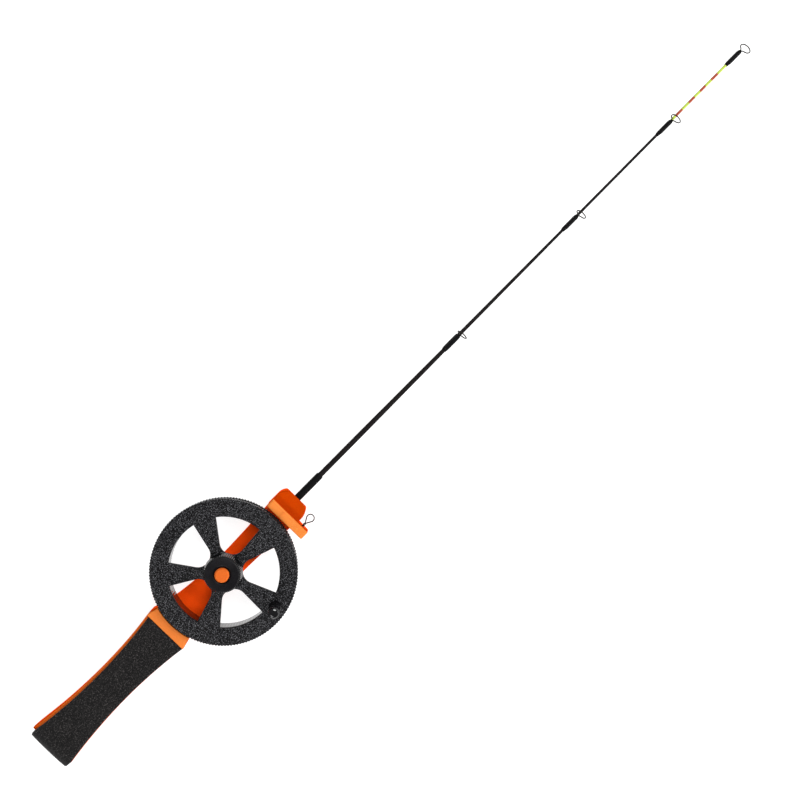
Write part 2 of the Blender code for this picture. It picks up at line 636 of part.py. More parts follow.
def hull_outline(low_radius, high_radius, distance, grow):
    """The outline round the blank and the guide's foot, which lies on it at a distance."""
    low, high = low_radius + grow, high_radius + grow
    lean = math.degrees(math.asin((low - high) / distance))
    return arc(0, 0, low, 180.0 - lean, 360.0 + lean, 12) + arc(0, distance, high, lean, 180.0 - lean, 8)


def tilt_matrix():
    """Local frame of a guide: its own +Z stands away from the blank on the line's side."""
    return Matrix.Rotation(math.radians(RING_ROLL), 4, "X")


def guide(name, sleeve_name, foot_x, sleeve_back_x, ring_outer):
    """A wire ring on a foot that lies along the blank, and the sleeve that binds it."""
    blank = max(whip_radius(sleeve_back_x), whip_radius(foot_x))
    height = blank + FINE_GAP + WIRE_RADIUS
    ring = ring_outer / 2 - WIRE_RADIUS
    lean = math.radians(RING_LEAN)
    centre_up = ring + 1.0
    up = Vector((math.sin(lean), 0.0, math.cos(lean)))
    across = Vector((0.0, 1.0, 0.0))
    foot = Vector((foot_x + 0.5, 0.0, height))
    middle = foot + up * centre_up
    route = [Vector((sleeve_back_x + 1.0, LEG_SPACING, height)), Vector((foot_x, LEG_SPACING, height)),
             foot + across * LEG_SPACING + up * 0.2]
    for i in range(RING_STEPS + 1):
        angle = math.radians(-90.0 + RING_OPEN + (360.0 - 2 * RING_OPEN) * i / RING_STEPS)
        route.append(middle + (across * math.cos(angle) + up * math.sin(angle)) * ring)
    route += [foot - across * LEG_SPACING + up * 0.2, Vector((foot_x + 0.05, -LEG_SPACING, height + 0.1))]
    place = Matrix.Translation((0, CENTRE_Y, WHIP_Z)) @ tilt_matrix()
    settle(wire(name, [place @ point for point in route], WIRE_RADIUS), WIRE)
    guide_sleeve(sleeve_name, blank, height, sleeve_back_x, foot_x)


def guide_sleeve(name, blank, height, start, end):
    loops = [hull_outline(blank, LEG_SPACING + WIRE_RADIUS, height, grow)
             for grow in (FINE_GAP + SLEEVE_WALL, FINE_GAP)]
    made = outline(name, loops, start, end, "YZ")
    place = Matrix.Translation((0, CENTRE_Y * MM, WHIP_Z * MM))
    made.matrix_world = place @ tilt_matrix() @ made.matrix_world
    settle(made, SHRINK)


def make_guides():
    for values in GUIDES:
        guide(*values)


def make_line_eye():
    """One wire, bent into an eye and twisted with itself, set in the lug."""
    out = []
    for x in stations(PLATE_BACK_X + 1.8, EYE_SHANK_END, 20):
        y, z = around(EYE_TWIST, 360.0 * (x - EYE_SHANK_END) / EYE_PITCH)
        out.append(Vector((x, y, z)))
    back = [Vector((p.x, -p.y, -p.z)) for p in reversed(out)]
    loop = []
    centre = EYE_SHANK_END + 1.6 * EYE_LOOP
    for i in range(17):
        angle = math.radians(125.0 - 250.0 * i / 16)
        loop.append(Vector((centre + EYE_LOOP * math.cos(angle), EYE_LOOP * math.sin(angle), 0.0)))
    place = Vector((0, EYE_Y, EYE_Z))
    settle(wire("line_eye", [p + place for p in out + loop + back], EYE_WIRE), WIRE)


clear_scene()
PARTS = collection("ice_fishing_rod")
CUTTERS = collection("cutters")

ORANGE = material("orange_plastic", (0.78, 0.15, 0.018), 0.35)
BLACK = material("black_plastic", (0.022, 0.022, 0.024), 0.5)
GLOSS = material("gloss_black_plastic", (0.012, 0.012, 0.013), 0.15)
FOAM = material("grip_foam", (0.028, 0.026, 0.024), 0.95)
FELT = material("brake_felt", (0.12, 0.11, 0.1), 0.95)
STEEL = material("steel", (0.55, 0.55, 0.56), 0.3, 1.0)
BRASS = material("brass", (0.7, 0.5, 0.22), 0.35, 1.0)
CARBON = material("black_blank", (0.02, 0.018, 0.018), 0.3)
YELLOW = material("hi_vis_tip", (0.62, 0.75, 0.08), 0.45)
SHRINK = material("shrink_sleeve", (0.008, 0.008, 0.008), 0.55)
WIRE = material("guide_wire", (0.16, 0.14, 0.12), 0.3, 1.0)

make_frame()
make_foam()
make_spool_front()
make_spool_drum()
make_spool_screws()
make_axle()
make_drag()
make_button()
make_knob()
make_whip()
make_guides()
make_line_eye()
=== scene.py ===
"""The ice fishing rod's finer shapes and its looks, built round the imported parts.

Sizes are in millimetres. MM turns them into metres.
"""

import math

import bmesh
import bpy
from mathutils import Matrix, Vector, noise


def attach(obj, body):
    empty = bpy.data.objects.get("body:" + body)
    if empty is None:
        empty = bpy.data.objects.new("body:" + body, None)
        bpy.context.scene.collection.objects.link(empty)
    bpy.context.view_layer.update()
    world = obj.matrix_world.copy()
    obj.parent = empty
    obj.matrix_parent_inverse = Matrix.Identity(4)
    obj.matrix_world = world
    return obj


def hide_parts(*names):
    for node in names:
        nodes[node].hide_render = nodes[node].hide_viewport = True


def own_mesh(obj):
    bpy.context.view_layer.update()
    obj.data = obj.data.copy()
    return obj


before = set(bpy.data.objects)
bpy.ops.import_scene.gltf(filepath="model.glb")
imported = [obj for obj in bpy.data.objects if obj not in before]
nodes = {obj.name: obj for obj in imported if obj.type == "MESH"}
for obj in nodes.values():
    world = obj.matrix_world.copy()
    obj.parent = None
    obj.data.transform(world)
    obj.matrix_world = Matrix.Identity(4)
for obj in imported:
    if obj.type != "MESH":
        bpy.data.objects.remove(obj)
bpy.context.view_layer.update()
scene = bpy.context.scene

MM = 0.001

# Sizes shared with the parts
CENTRE_Y = -0.64
GRIP_THICK = 20.0
FOAM_THICK = 3.15
BUTT_X = -123.2
SHOULDER_BACK_X = -44.1
WAIST_X = -83.0
WAIST_HALF = 9.3
FLARE_BACK = 3.07
FLARE_BACK_RUN = 43.0
FLARE_FRONT = 2.8
FLARE_FRONT_RUN = 38.6
FOAM_WIDEST = 12.5
GRIP_SHIFT = 0.27           # the grip's own centre line, from the rod's
FOAM_SHIFT = -0.42          # and the foam's, from the grip's
FOAM_Y = CENTRE_Y + GRIP_SHIFT + FOAM_SHIFT

HEAD_FRONT_X = 53.1
HEAD_BACK_X = 44.2
PLATE_BACK_X = 39.5

REEL_RADIUS = 38.3
BACK_RADIUS = 37.8
REEL_BACK = 9.7
BACK_FLANGE_FRONT = 11.9
FRONT_FLANGE_BACK = 20.0
REEL_FACE = 22.5
DRUM_OUTER = 30.4
DRUM_INNER = 28.9
SPOKES = 5
FIRST_SPOKE = -7.4
WINDOW_INNER = 10.7
WINDOW_OUTER = 28.8
SPOKE_HALF_ANGLE = 12.0
WINDOW_CORNER = 6.0
HUB_OUTER = 6.6
HUB_FLARE_LOW = 16.5
HUB_FLARE_HIGH = 19.0
BUSH_OUTER = 4.2
SCREW_CIRCLE = 25.4
SCREW_RADIUS = 0.95
SCREW_HEAD = 1.8
SCREW_BOSS = 2.4
SCREW_HOLE = 1.1
SCREW_SEAT = REEL_BACK + 2.4

AXLE_RADIUS = 3.0
AXLE_BORE = 2.1
AXLE_TOP = 26.6
RUNNING = 0.06
FINE_GAP = 0.08
NUT_RADIUS = 10.2
NUT_FACE_RADIUS = 9.4
NUT_BOTTOM = 23.1
NUT_TOP = 29.7
NUT_CAVITY = 7.2
NUT_CAVITY_TOP = 24.6
BUTTON_RADIUS = 3.7
BUTTON_HOLE = 4.3
BUTTON_TOP = 31.5
BUTTON_TRAVEL = 2.0
STEM_BOTTOM = 14.3
SPRING_BOTTOM = 2.1
SPRING_TURNS = 5.0
SPRING_RADIUS = 1.45
SPRING_WIRE = 0.25

KNOB_ANGLE = FIRST_SPOKE - 360.0 / SPOKES
KNOB_CIRCLE = 32.2
KNOB_TOP = 37.8
KNOB_BOTTOM = 22.9
KNOB_BORE = 1.06
PIN_RADIUS = 1.0
PIN_HEAD = 1.5
PIN_NECK = KNOB_TOP - 5.0

WHIP_Z = 9.0
WHIP_BUTT_X = 42.4
TIP_START_X = 331.0
WHIP_END_X = 383.4
BASE_SLEEVE_END_X = 69.6
SLEEVE_RADIUS = 2.0
# Whip radius at distances along the rod
WHIP_TAPER = [(42.4, 1.45), (70.0, 1.45), (95.0, 1.44), (107.0, 1.39), (128.0, 1.28), (148.0, 1.22),
              (160.0, 1.13), (180.0, 1.0), (195.0, 0.96), (212.0, 0.91), (240.0, 0.8), (262.0, 0.76),
              (296.0, 0.73), (331.0, 0.72), (383.4, 0.7)]

RING_ROLL = 10.5            # degrees that the guides roll from +Z towards -Y
RING_LEAN = 10.0            # and lean from +Z towards the tip
WIRE_RADIUS = 0.32
LEG_SPACING = 0.33          # half the distance between a guide's two wires at its foot
SLEEVE_WALL = 0.34
RING_OPEN = 24.0            # degrees left open on each side where the ring meets its foot
RING_RISE = 1.0             # from the foot up to the ring
# Number, end of the foot, back of the sleeve and outside width of each guide's ring
GUIDES = [("1", 172.8, 161.7, 6.3), ("2", 261.2, 250.4, 6.3), ("3", 331.4, 320.9, 6.3),
          ("", 382.8, 372.4, 6.5)]

EYE_Y = CENTRE_Y - 12.1
EYE_Z = 12.5
EYE_WIRE = 0.31
EYE_TWIST = 0.42
EYE_PITCH = 2.6
EYE_LOOP = 2.0
EYE_SHANK_END = HEAD_BACK_X + 2.7

# Detail that only shows here
RIM_TEETH = 150
TOOTH_DEPTH = 0.42
TOOTH_STEPS = 4             # points on the rim for each tooth
WALL_RIBS = 120
RIB_DEPTH = 0.1
NUT_RIBS = 60
NUT_RIB_DEPTH = 0.3
NUT_STEPS = 8               # points round the nut for each rib
FACE_EDGE = 0.3             # rounding of the reel's moulded edges
FOAM_EDGE = 0.9             # rounding of the foam's long edges
FOAM_CROWN = 0.35           # how much lower the strip is at its edges than in its middle
FOAM_DENTS = 0.12
SPRING_STEPS = 150
WHIP_CAP = 0.8              # inner ring of points on the whip's flat ends, as a share of its radius
ORANGE_LIGHT_RAMP_TOP = 32.0           # height at which the orange's ramp of colours ends
SHARP = 35.0                # degrees: edges that bend more than this are shaded sharp
WELD = 0.000001             # metres: points nearer than this become one


# Camera: the point it looks at, its height, and its tilt and roll in degrees

VIEW_X = 127.0
VIEW_Y = -1.94
VIEW_Z = 25.0
VIEW_HEIGHT = 640.0
VIEW_TILT = 2.9
VIEW_ROLL = 0.3216
LENS = 54.0
SENSOR = 36.0


def make_camera():
    tilt = math.radians(VIEW_TILT)
    target = Vector((VIEW_X, VIEW_Y, VIEW_Z)) * MM
    back = Vector((0.0, math.sin(tilt), math.cos(tilt)))
    place = target + back * (VIEW_HEIGHT - VIEW_Z) * MM
    diagonal = math.radians(45.0 + VIEW_ROLL)
    right = Vector((math.cos(diagonal), -math.sin(diagonal), 0.0))
    up = back.cross(right).normalized()
    right = up.cross(back).normalized()
    camera = bpy.data.objects.new("camera", bpy.data.cameras.new("camera"))
    camera.data.lens = LENS
    camera.data.sensor_width = SENSOR
    camera.data.clip_start = 0.01
    camera.data.clip_end = 50.0
    camera.matrix_world = Matrix.Translation(place) @ Matrix((right, up, back)).transposed().to_4x4()
    scene.collection.objects.link(camera)
    scene.camera = camera


# Light

def make_world():
    """A studio that is bright round the horizon and dim overhead."""
    world = bpy.data.worlds.new("studio")
    scene.world = world
    world.use_nodes = True
    tree = world.node_tree
    coords = tree.nodes.new("ShaderNodeTexCoord")
    split = tree.nodes.new("ShaderNodeSeparateXYZ")
    ramp = tree.nodes.new("ShaderNodeValToRGB")
    ramp.color_ramp.elements[0].position = 0.0
    ramp.color_ramp.elements[0].color = (1.0, 1.0, 1.0, 1.0)
    ramp.color_ramp.elements[1].position = 0.9
    ramp.color_ramp.elements[1].color = (0.36, 0.36, 0.365, 1.0)
    background = tree.nodes["Background"]
    tree.links.new(coords.outputs["Generated"], split.inputs[0])
    tree.links.new(split.outputs["Z"], ramp.inputs[0])
    tree.links.new(ramp.outputs[0], background.inputs[0])


def make_lamp(name, spot, power, size):
    lamp = bpy.data.lights.new(name, "AREA")
    lamp.energy = power
    lamp.size = size
    thing = bpy.data.objects.new(name, lamp)
    thing.location = spot
    thing.rotation_euler = (Vector(spot) - Vector((0.1, 0.0, 0.0))).to_track_quat("Z", "Y").to_euler()
    scene.collection.objects.link(thing)


def make_floor():
    mesh = bpy.data.meshes.new("floor")
    mesh.from_pydata([(-6, -6, 0), (6, -6, 0), (6, 6, 0), (-6, 6, 0)], [], [(0, 1, 2, 3)])
    floor = bpy.data.objects.new("floor", mesh)
    floor.location.z = -0.1 * MM
    scene.collection.objects.link(floor)
    look = Look("floor", colour=(0.3, 0.3, 0.3), roughness=0.9)
    look.set("Specular IOR Level", 0.0)
    look.set("Emission Color", (1.0, 1.0, 1.0, 1.0))
    look.set("Emission Strength", 0.85)
    mesh.materials.append(look.material)


# Materials

class Look:
    """A procedural material, built up one layer at a time."""

    def __init__(self, name, colour, roughness, metallic=0.0):
        self.material = bpy.data.materials.new(name)
        self.material.use_nodes = True
        self.tree = self.material.node_tree
        self.shader = self.tree.nodes["Principled BSDF"]
        self.coords = None
        self.normal = None
        self.set("Base Color", (*colour, 1.0))
        self.set("Roughness", roughness)
        self.set("Metallic", metallic)

    def set(self, socket, value):
        self.shader.inputs[socket].default_value = value

    def node(self, kind, **sockets):
        made = self.tree.nodes.new(kind)
        for key, value in sockets.items():
            made.inputs[key].default_value = value
        return made

    def link(self, source, target):
        self.tree.links.new(source, target)

    def place(self, stretch=None):
        """Positions in the object's own space, stretched where a pattern needs it."""
        if self.coords is None:
            self.coords = self.node("ShaderNodeTexCoord").outputs["Object"]
        if stretch is None:
            return self.coords
        mapping = self.node("ShaderNodeMapping")
        mapping.inputs["Scale"].default_value = stretch
        self.link(self.coords, mapping.inputs["Vector"])
        return mapping.outputs[0]

    def noise(self, size, detail=2.0, rough=0.55, stretch=None):
        """Noise whose features are about size millimetres across."""
        made = self.node("ShaderNodeTexNoise", Scale=1.0 / (size * MM), Detail=detail, Roughness=rough)
        self.link(self.place(stretch), made.inputs["Vector"])
        return made.outputs["Fac"]

    def ramp(self, source, stops, constant=False):
        made = self.node("ShaderNodeValToRGB")
        ramp = made.color_ramp
        ramp.interpolation = "CONSTANT" if constant else "LINEAR"
        while len(ramp.elements) < len(stops):
            ramp.elements.new(0.5)
        for element, (position, colour) in zip(ramp.elements, stops):
            element.position = position
            element.color = (*colour, 1.0)
        self.link(source, made.inputs[0])
        return made.outputs[0]

    def spread(self, source, low, high):
        """Map a pattern's middle range onto low to high."""
        made = self.node("ShaderNodeMapRange")
        for key, value in (("From Min", 0.3), ("From Max", 0.7), ("To Min", low), ("To Max", high)):
            made.inputs[key].default_value = value
        self.link(source, made.inputs["Value"])
        return made.outputs[0]

    def paint(self, colour):
        self.link(colour, self.shader.inputs["Base Color"])

    def tint(self, colour, pattern, low, high):
        """Multiply a colour by a pattern that runs from low to high."""
        made = self.node("ShaderNodeMix")
        made.data_type = "RGBA"
        made.blend_type = "MULTIPLY"
        made.inputs["Factor"].default_value = 1.0
        self.link(colour, made.inputs["A"])
        grey = self.ramp(pattern, [(0.3, (low,) * 3), (0.7, (high,) * 3)])
        self.link(grey, made.inputs["B"])
        return made.outputs["Result"]

    def gloss(self, pattern, low, high):
        self.link(self.spread(pattern, low, high), self.shader.inputs["Roughness"])

    def relief(self, pattern, height, strength=1.0):
        """Bump of so many millimetres, on top of any before it."""
        made = self.node("ShaderNodeBump", Strength=strength, Distance=height * MM)
        self.link(pattern, made.inputs["Height"])
        if self.normal is not None:
            self.link(self.normal, made.inputs["Normal"])
        self.normal = made.outputs[0]
        self.link(self.normal, self.shader.inputs["Normal"])


def orange_plastic():
    """Orange whose colour follows the height, with light and shade painted in: reddish and lifted low down
    where the reel shades the arm, painted shade darkest near 14 mm, a painted highlight palest near 18 mm.
    """
    look = Look("orange_plastic", (0.8, 0.12, 0.01), 0.38)
    split = look.node("ShaderNodeSeparateXYZ")
    look.link(look.place(), split.inputs[0])
    height = look.node("ShaderNodeMapRange")
    height.inputs["From Max"].default_value = ORANGE_LIGHT_RAMP_TOP * MM
    look.link(split.outputs["Z"], height.inputs["Value"])
    # Painted light and shade: the stops brighten the shaded arm low down, paint shade on the head block near
    # 14 mm and a highlight on the plate near 18 mm.
    base = look.ramp(height.outputs[0], [(0.2, (0.9, 0.07, 0.004)), (0.43, (0.36, 0.031, 0.0004)),
                                         (0.5, (0.55, 0.07, 0.003)), (0.57, (0.63, 0.19, 0.038)),
                                         (0.62, (0.54, 0.14, 0.028)), (0.95, (0.5, 0.1, 0.016))])
    cloud = look.noise(14.0, 3.0)
    grain = look.noise(0.5, 2.0)
    look.paint(look.tint(look.tint(base, cloud, 0.92, 1.08), grain, 0.95, 1.04))
    look.gloss(look.noise(1.2, 3.0), 0.3, 0.46)
    look.relief(grain, 0.02, 0.5)
    look.set("Subsurface Weight", 0.12)
    look.set("Subsurface Radius", (1.0, 0.3, 0.1))
    look.set("Subsurface Scale", 0.0015)
    look.set("Specular IOR Level", 0.0)
    return look.material


def grained_black_with_glints():
    look = Look("black_plastic", (0.012, 0.012, 0.013), 0.5)
    grain = look.noise(0.4, 1.0, 0.5)
    # The bright top stop paints glints into the colour: the specks stand for light caught by the grain's
    # bumps, laid on the plastic's own dark grain.
    base = look.ramp(grain, [(0.48, (0.0002, 0.0002, 0.0004)), (0.57, (0.0022, 0.0022, 0.0028)),
                             (0.67, (0.11, 0.11, 0.118))])
    look.paint(base)
    look.gloss(look.noise(0.6, 2.0), 0.4, 0.62)
    look.relief(grain, 0.1, 0.5)
    look.set("Specular IOR Level", 0.08)
    return look.material


def glossy_black_wall():
    look = Look("black_plastic_smooth_wall", (0.012, 0.012, 0.013), 0.2)
    fine = look.noise(0.7, 2.0, 0.5)
    look.paint(look.ramp(fine, [(0.3, (0.002, 0.002, 0.0024)), (0.7, (0.006, 0.006, 0.007))]))
    look.gloss(look.noise(3.0, 2.0), 0.12, 0.24)
    look.relief(fine, 0.02, 0.2)
    look.set("Specular IOR Level", 0.3)
    look.set("Coat Weight", 0.3)
    look.set("Coat Roughness", 0.08)
    return look.material


def smooth_black():
    look = Look("smooth_black_plastic", (0.016, 0.015, 0.017), 0.42)
    cloud = look.noise(3.5, 3.0)
    fine = look.noise(0.35, 2.0)
    look.paint(look.ramp(cloud, [(0.3, (0.0025, 0.0023, 0.0028)), (0.7, (0.006, 0.0055, 0.0068))]))
    look.gloss(fine, 0.24, 0.36)
    look.relief(fine, 0.015, 0.4)
    look.set("Specular IOR Level", 0.1)
    return look.material


def gloss_black():
    look = Look("gloss_black_plastic", (0.008, 0.008, 0.0085), 0.1)
    wave = look.noise(2.2, 2.0)
    look.paint(look.ramp(wave, [(0.3, (0.0015, 0.0015, 0.0018)), (0.7, (0.004, 0.004, 0.0045))]))
    look.gloss(look.noise(1.0, 2.0), 0.04, 0.08)
    look.relief(wave, 0.03, 0.2)
    look.set("Specular IOR Level", 0.3)
    return look.material


def foam():
    look = Look("grip_foam", (0.026, 0.024, 0.022), 0.92)
    cells = look.node("ShaderNodeTexVoronoi", Scale=1.0 / (0.7 * MM))
    look.link(look.place(), cells.inputs["Vector"])
    speck = look.noise(0.6, 3.0, 0.7)
    cloud = look.noise(9.0, 3.0)
    base = look.ramp(speck, [(0.4, (0.0015, 0.0014, 0.0014)), (0.55, (0.0065, 0.006, 0.006)),
                             (0.68, (0.06, 0.055, 0.054))])
    look.paint(look.tint(base, cloud, 0.8, 1.15))
    look.relief(cells.outputs["Distance"], 0.12, 0.7)
    look.relief(speck, 0.1, 0.6)
    look.set("Sheen Weight", 0.04)
    look.set("Sheen Roughness", 0.5)
    look.set("Specular IOR Level", 0.15)
    return look.material


def felt():
    look = Look("brake_felt", (0.12, 0.11, 0.1), 0.95)
    fibre = look.noise(0.3, 4.0, 0.7, (1.0, 1.0, 0.3))
    look.paint(look.ramp(fibre, [(0.3, (0.07, 0.064, 0.058)), (0.7, (0.2, 0.19, 0.17))]))
    look.relief(fibre, 0.1, 0.8)
    look.set("Sheen Weight", 0.4)
    return look.material


def metal(name, dark, light, low, high, grain=0.25, stretch=(1.0, 1.0, 0.08)):
    look = Look(name, light, low, 1.0)
    brush = look.noise(grain, 3.0, 0.6, stretch)
    look.paint(look.ramp(brush, [(0.3, dark), (0.7, light)]))
    look.gloss(look.noise(grain * 2, 2.0, 0.5, stretch), low, high)
    look.relief(brush, 0.01, 0.3)
    return look.material


def dark_blank():
    """Satin paint over glass fibre, with a faint lengthwise weave."""
    look = Look("black_blank", (0.02, 0.017, 0.017), 0.3)
    weave = look.noise(0.5, 3.0, 0.6, (0.06, 1.0, 1.0))
    look.paint(look.ramp(weave, [(0.3, (0.004, 0.0035, 0.0035)), (0.7, (0.012, 0.01, 0.01))]))
    look.gloss(look.noise(2.0, 2.0), 0.36, 0.52)
    look.relief(weave, 0.02, 0.3)
    look.set("Specular IOR Level", 0.03)
    return look.material


YELLOW = (0.36, 0.46, 0.07)
RED = (0.29, 0.06, 0.033)
TIP_BANDS = [(334.8, 339.9), (344.9, 349.1), (353.2, 357.4), (361.7, 366.4)]


def banded_tip():
    """Fluorescent yellow with four red bands, each with slightly uneven edges."""
    look = Look("hi_vis_paint", YELLOW, 0.42)
    split = look.node("ShaderNodeSeparateXYZ")
    look.link(look.place(), split.inputs[0])
    wobble = look.node("ShaderNodeMath")
    wobble.operation = "MULTIPLY_ADD"
    wobble.inputs[1].default_value = 0.35 * MM
    look.link(look.noise(0.5, 2.0), wobble.inputs[0])
    look.link(split.outputs["X"], wobble.inputs[2])
    span = look.node("ShaderNodeMapRange")
    span.inputs["From Min"].default_value = TIP_START_X * MM
    span.inputs["From Max"].default_value = WHIP_END_X * MM
    look.link(wobble.outputs[0], span.inputs["Value"])
    length = WHIP_END_X - TIP_START_X
    stops = [(0.0, (0.03, 0.03, 0.02)), (0.7 / length, YELLOW)]
    for start, end in TIP_BANDS:
        stops += [((start - TIP_START_X) / length, RED), ((end - TIP_START_X) / length, YELLOW)]
    bands = look.ramp(span.outputs[0], stops, constant=True)
    look.paint(look.tint(bands, look.noise(1.5, 3.0), 0.82, 1.05))
    look.gloss(look.noise(1.0, 2.0), 0.34, 0.5)
    look.relief(look.noise(0.4, 2.0), 0.02, 0.4)
    look.set("Specular IOR Level", 0.05)
    return look.material


def shrink_tube():
    look = Look("shrink_sleeve", (0.006, 0.006, 0.0065), 0.5)
    wrinkle = look.noise(0.6, 3.0, 0.6, (0.25, 1.0, 1.0))
    look.paint(look.ramp(wrinkle, [(0.3, (0.0015, 0.0015, 0.0018)), (0.7, (0.004, 0.004, 0.0042))]))
    look.gloss(look.noise(1.5, 2.0), 0.38, 0.6)
    look.relief(wrinkle, 0.05, 0.5)
    look.set("Specular IOR Level", 0.05)
    return look.material


# Mesh building

def tidy(shape):
    bmesh.ops.remove_doubles(shape, verts=shape.verts, dist=WELD)
    bmesh.ops.recalc_face_normals(shape, faces=shape.faces)
    mesh = bpy.data.meshes.new("mesh")
    shape.to_mesh(mesh)
    shape.free()
    return mesh


def grid(rings, closed):
    """Faces between neighbouring rings of points, and from the last back to the first if closed."""
    shape = bmesh.new()
    rows = [[shape.verts.new(point) for point in ring] for ring in rings]
    count = len(rows[0])
    for a in range(len(rows) if closed else len(rows) - 1):
        here, there = rows[a], rows[(a + 1) % len(rows)]
        for i in range(count):
            k = (i + 1) % count
            shape.faces.new((here[i], here[k], there[k], there[i]))
    if not closed:
        for row in (rows[0], rows[-1]):
            if (row[0].co - row[len(row) // 2].co).length > 0.00001:
                shape.faces.new(row)
    return tidy(shape)


def revolve(profile, steps=64, place=(0.0, 0.0, 0.0), along="Z", shape=None):
    """Turn a profile of (radius, height) about an axis. A profile that never touches it is a closed ring."""
    closed = profile[0][0] > 0 or profile[-1][0] > 0
    rings = []
    for radius, height in profile:
        ring = []
        for i in range(steps):
            angle = 2 * math.pi * i / steps
            r = shape(radius, height, angle) if shape else radius
            a, b = r * math.cos(angle), r * math.sin(angle)
            point = (height, a, b) if along == "X" else (a, b, height)
            ring.append((Vector(place) + Vector(point)) * MM)
        rings.append(ring)
    return grid(rings, closed)


def rounded(corners, radii, steps=4, closed=True):
    """Round the corners of a line of points, each by its own radius."""
    points = []
    count = len(corners)
    for i, (corner, radius) in enumerate(zip(corners, radii)):
        here = Vector(corner)
        if not radius or (not closed and i in (0, count - 1)):
            points.append(tuple(here))
            continue
        back = (Vector(corners[i - 1]) - here).normalized()
        ahead = (Vector(corners[(i + 1) % count]) - here).normalized()
        half = back.angle(ahead) / 2
        reach = radius / math.tan(half)
        centre = here + (back + ahead).normalized() * (radius / math.sin(half))
        first = here + back * reach - centre
        last = here + ahead * reach - centre
        sweep = first.angle_signed(last)
        for step in range(steps + 1):
            points.append(tuple(centre + Matrix.Rotation(-sweep * step / steps, 2) @ first))
    return points


def arc(centre_x, centre_y, radius, start, end, steps):
    angles = [math.radians(start + (end - start) * i / steps) for i in range(steps + 1)]
    return [(centre_x + radius * math.cos(a), centre_y + radius * math.sin(a)) for a in angles]


def around(radius, degrees):
    angle = math.radians(degrees)
    return radius * math.cos(angle), radius * math.sin(angle)


def stations(start, end, count):
    return [start + (end - start) * i / count for i in range(count + 1)]


def evaluated_mesh(thing):
    bpy.context.view_layer.update()
    final = thing.evaluated_get(bpy.context.evaluated_depsgraph_get())
    return bpy.data.meshes.new_from_object(final)


def temporary(data):
    thing = bpy.data.objects.new("temporary", data)
    scene.collection.objects.link(thing)
    return thing


def baked(thing):
    """The object's mesh with its modifiers applied, welded. The object itself is removed."""
    shape = bmesh.new()
    shape.from_mesh(evaluated_mesh(thing))
    bpy.data.objects.remove(thing, do_unlink=True)
    return tidy(shape)


def plate(loops, low, high, edge):
    """Extrude closed loops (the first outside, the others holes) from low to high with rounded edges."""
    curve = bpy.data.curves.new("plate", "CURVE")
    curve.dimensions = "2D"
    curve.fill_mode = "BOTH"
    curve.extrude = ((high - low) / 2 - edge) * MM
    curve.bevel_depth = edge * MM
    curve.bevel_resolution = 2
    curve.offset = -edge * MM
    for loop in loops:
        spline = curve.splines.new("POLY")
        spline.points.add(len(loop) - 1)
        spline.use_cyclic_u = True
        for point, (x, y) in zip(spline.points, loop):
            point.co = (x * MM, y * MM, 0.0, 1.0)
    thing = temporary(curve)
    thing.location = (0.0, 0.0, (low + high) / 2 * MM)
    place = Matrix.Translation(thing.location)
    mesh = baked(thing)
    mesh.transform(place)
    return mesh


def tube(route, radius, resolution=4):
    """A round wire along points in millimetres."""
    curve = bpy.data.curves.new("wire", "CURVE")
    curve.dimensions = "3D"
    curve.bevel_depth = radius * MM
    curve.bevel_resolution = resolution
    curve.use_fill_caps = True
    spline = curve.splines.new("POLY")
    spline.points.add(len(route) - 1)
    for point, place in zip(spline.points, route):
        point.co = (*(Vector(place) * MM), 1.0)
    return baked(temporary(curve))


def eased(route, passes=2):
    """Cut the corners of an open line, keeping its ends."""
    for _ in range(passes):
        line = [route[0]]
        for a, b in zip(route, route[1:]):
            line += [a.lerp(b, 0.25), a.lerp(b, 0.75)]
        route = line + [route[-1]]
    return route


def carve(mesh, tools):
    """Combine a mesh with others, given as (mesh, UNION or DIFFERENCE)."""
    thing = temporary(mesh)
    others = []
    for tool, operation in tools:
        other = temporary(tool)
        others.append(other)
        modifier = thing.modifiers.new("carve", "BOOLEAN")
        modifier.operation = operation
        modifier.object = other
        modifier.solver = "EXACT"
    mesh = baked(thing)
    for other in others:
        bpy.data.objects.remove(other, do_unlink=True)
    return mesh


def shade(mesh, sharp):
    mesh.shade_smooth()
    mesh.set_sharp_from_angle(angle=math.radians(sharp))


def add_piece(name, mesh, body, slot, finish, *replaced, sharp=SHARP):
    mesh.name = name
    mesh.materials.clear()
    mesh.materials.append(finish)
    shade(mesh, sharp)
    piece = bpy.data.objects.new(name, mesh)
    scene.collection.objects.link(piece)
    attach(piece, body)
    if replaced:
        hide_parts(*replaced)
    return piece


def cylinder(radius, low, high, place=(0.0, 0.0, 0.0), steps=32):
    return revolve([(0, high), (radius, high), (radius, low), (0, low)], steps, place)


# Grip

def foam_half(x):
    if x < WAIST_X:
        return min(WAIST_HALF + FLARE_BACK * ((WAIST_X - x) / FLARE_BACK_RUN) ** 2, FOAM_WIDEST)
    return WAIST_HALF + FLARE_FRONT * ((x - WAIST_X) / FLARE_FRONT_RUN) ** 2


def foam_line():
    """Points and outward directions along the strip's outer face, from the front round the butt and back."""
    front = SHOULDER_BACK_X - 0.3
    middle = GRIP_THICK / 2
    ends = [front, front - 0.25, front - 0.9]
    flat = ends + stations(front - 2.5, BUTT_X, 34)
    fold = [math.radians(90.0 + 180.0 * i / 26) for i in range(1, 26)]
    line = [(x, GRIP_THICK, 0.0, 1.0) for x in flat]
    line += [(BUTT_X + middle * math.cos(a), middle + middle * math.sin(a), math.cos(a), math.sin(a))
             for a in fold]
    return line + [(x, 0.0, 0.0, -1.0) for x in reversed(flat)]


